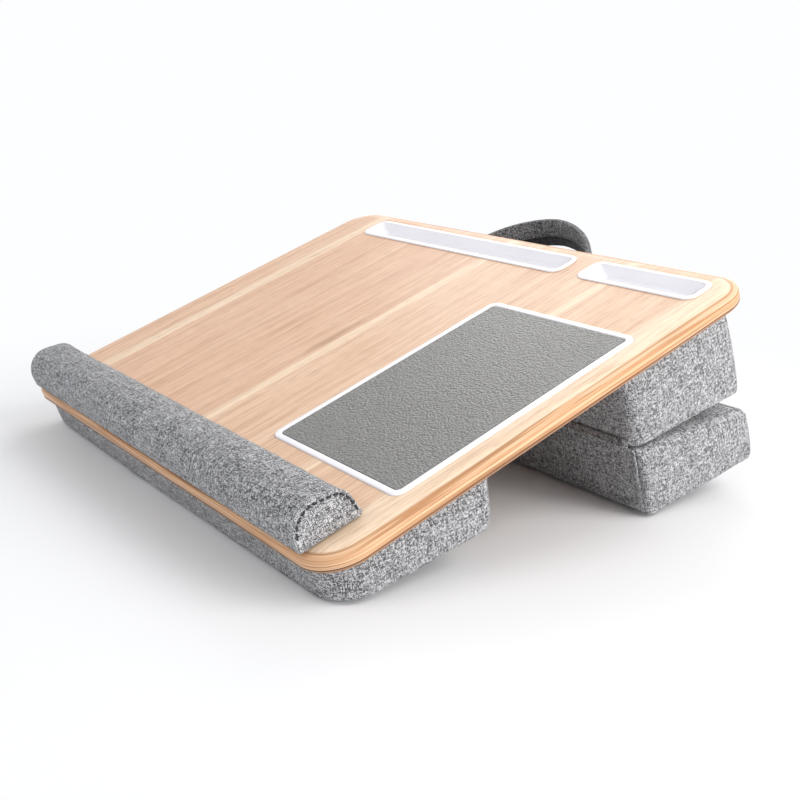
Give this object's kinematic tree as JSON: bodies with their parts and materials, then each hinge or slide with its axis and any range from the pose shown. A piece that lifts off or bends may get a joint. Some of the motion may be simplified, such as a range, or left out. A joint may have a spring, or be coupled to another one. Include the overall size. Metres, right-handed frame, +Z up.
{
  "type": "lap desk",
  "caption": "Lap desk with a striped wood top, a mouse pad and pen trays let in, a padded wrist rest, and two grey linen cushions, the rear one with a folding riser and a carry handle",
  "frame": {"origin": "On the floor, under the middle of the lap desk's bounding box", "axes": "+X to the user's right, along the desk's width; +Y to the rear, away from the user; +Z up"},
  "size_m": [0.56, 0.4738, 0.2031],
  "materials": {
    "wood": "satin lacquered strip-pattern bamboo, light tan with cream stripes",
    "white_plastic": "glossy moulded white",
    "pad_leather": "pebbled grey imitation leather",
    "pad_plate": "matte black backing sheet",
    "grey_fabric": "heathered grey linen-look weave",
    "dark_fabric": "dark grey webbing",
    "foam": "cream upholstery foam",
    "adhesive_sheet": "double-sided adhesive sheet"
  },
  "bodies": {
    "desk": {"board": "wood", "mouse_pad_frame": "white_plastic", "mouse_pad_backing": "pad_plate", "mouse_pad": "pad_leather", "long_tray": "white_plastic", "short_tray": "white_plastic", "wrist_rest_cover": "grey_fabric", "wrist_rest_foam": "foam", "wrist_rest_end_left": "grey_fabric", "wrist_rest_end_right": "grey_fabric", "wrist_rest_base": "adhesive_sheet", "front_pad_cover": "grey_fabric", "front_pad_foam": "foam", "riser_upper_cover": "grey_fabric", "riser_upper_foam": "foam", "fold_seam": "grey_fabric", "loop_tape_left": "dark_fabric", "loop_tape_right": "dark_fabric", "handle_strap": "dark_fabric", "handle_sleeve": "dark_fabric"},
    "riser": {"riser_lower_cover": "grey_fabric", "riser_lower_foam": "foam", "riser_lower_top_panel": "grey_fabric", "riser_front_panel": "grey_fabric", "hook_tape_left": "dark_fabric", "hook_tape_right": "dark_fabric"}
  },
  "joints": [
    {"name": "riser_fold", "type": "hinge", "parent": "desk", "child": "riser", "pos_m": [0, 0.06633, 0.062], "axis": [-1, 0, 0], "range_deg": [-4, 170]}
  ]
}
